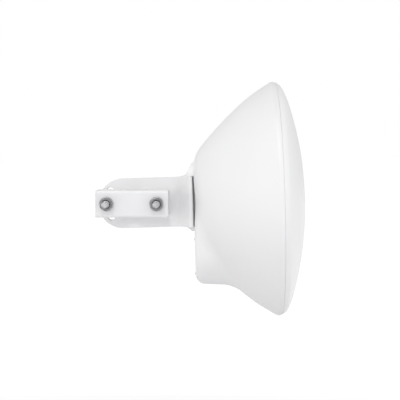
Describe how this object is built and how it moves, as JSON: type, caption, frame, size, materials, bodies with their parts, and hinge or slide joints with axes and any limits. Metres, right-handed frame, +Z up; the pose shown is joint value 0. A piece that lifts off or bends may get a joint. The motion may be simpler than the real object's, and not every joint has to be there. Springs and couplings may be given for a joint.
{
  "type": "outdoor wireless bridge",
  "caption": "Round white dish radio with a domed cover, on a tilting arm held by a two-jaw toothed pole clamp, with a hinged port door on its back.",
  "frame": {"origin": "on the pole's axis, at the height of the two clamp bolts", "axes": "+Z up along the pole, +X the way the dish faces when level, +Y from the front jaw through the rear jaw to the arm"},
  "size_m": [0.2337, 0.2646, 0.2645],
  "materials": {
    "housing_plastic": "fine moulded satin",
    "radome_plastic": "fine moulded satin",
    "door_plastic": "fine moulded satin",
    "arm_coat": "white powder coat over cast aluminium",
    "jaw_coat": "white powder coat over folded sheet steel",
    "bolt_steel": "satin zinc plate",
    "nut_steel": "satin zinc plate",
    "washer_steel": "satin zinc plate",
    "screw_steel": "satin",
    "seal_rubber": "matt",
    "reflector_aluminium": "satin spun",
    "feed_plastic": "satin",
    "board_laminate": "satin solder mask",
    "shield_steel": "tinned",
    "pad_rubber": "matt",
    "dark_plastic": "satin",
    "light_pipe_plastic": "clear, polished"
  },
  "bodies": {
    "clamp": {"rear_jaw": "jaw_coat", "pivot_bolt": "bolt_steel", "slot_bolt": "bolt_steel", "pivot_bolt_washer": "washer_steel", "slot_bolt_washer": "washer_steel"},
    "front_jaw": {"front_jaw": "jaw_coat", "pivot_flat_washer": "washer_steel", "slot_flat_washer": "washer_steel", "pivot_spring_washer": "washer_steel", "slot_spring_washer": "washer_steel"},
    "pivot_nut": {"pivot_nut": "nut_steel"},
    "slot_nut": {"slot_nut": "nut_steel"},
    "head": {"arm": "arm_coat", "mount_base": "arm_coat", "base_screw_1": "screw_steel", "base_screw_2": "screw_steel", "base_screw_3": "screw_steel", "base_screw_4": "screw_steel", "rear_housing": "housing_plastic", "radome": "radome_plastic", "radome_seal": "seal_rubber", "reflector": "reflector_aluminium", "feed_tube": "reflector_aluminium", "feed_cone": "feed_plastic", "sub_reflector": "reflector_aluminium", "feed_screw_1": "screw_steel", "feed_screw_2": "screw_steel", "feed_screw_3": "screw_steel", "feed_screw_4": "screw_steel", "main_board": "board_laminate", "radio_shield": "shield_steel", "thermal_pad": "pad_rubber", "heat_spreader": "reflector_aluminium", "board_screw_1": "screw_steel", "board_screw_2": "screw_steel", "board_screw_3": "screw_steel", "board_screw_4": "screw_steel", "ethernet_jack": "shield_steel", "reset_switch": "dark_plastic", "light_pipes": "light_pipe_plastic", "port_bay_liner": "dark_plastic", "cable_grommet": "seal_rubber", "door_hinge_pin": "screw_steel"},
    "port_door": {"port_door": "door_plastic", "door_seal": "seal_rubber"},
    "reset_button": {"reset_button": "dark_plastic"}
  },
  "joints": [
    {"name": "jaw_slide", "type": "slide", "parent": "clamp", "child": "front_jaw", "axis": [0, -1, 0], "range_m": [-0.014, 0.014]},
    {"name": "pivot_nut_spin", "type": "hinge", "parent": "front_jaw", "child": "pivot_nut", "pos_m": [0.0275, -0.0316, 0], "axis": [0, -1, 0], "range_deg": [-4040, 4040]},
    {"name": "slot_nut_spin", "type": "hinge", "parent": "front_jaw", "child": "slot_nut", "pos_m": [-0.0275, -0.0316, 0], "axis": [0, -1, 0], "range_deg": [-4040, 4040]},
    {"name": "elevation", "type": "hinge", "parent": "clamp", "child": "head", "pos_m": [0.0275, 0.029, 0], "axis": [0, -1, 0], "range_deg": [-16.7, 13.3]},
    {"name": "port_door_hinge", "type": "hinge", "parent": "head", "child": "port_door", "pos_m": [0.07075, 0.029, -0.05004], "axis": [0, 1, 0], "range_deg": [0, 105]},
    {"name": "reset_button_press", "type": "slide", "parent": "head", "child": "reset_button", "axis": [0.9996, 0, 0.0297], "range_m": [0, 0.0005], "stiffness_N_per_m": 600, "springref_m": -0.001}
  ],
  "couplings": [
    {"joint": "pivot_nut_spin", "follows": "jaw_slide", "rad_per_m": 5026.5},
    {"joint": "slot_nut_spin", "follows": "jaw_slide", "rad_per_m": 5026.5}
  ]
}
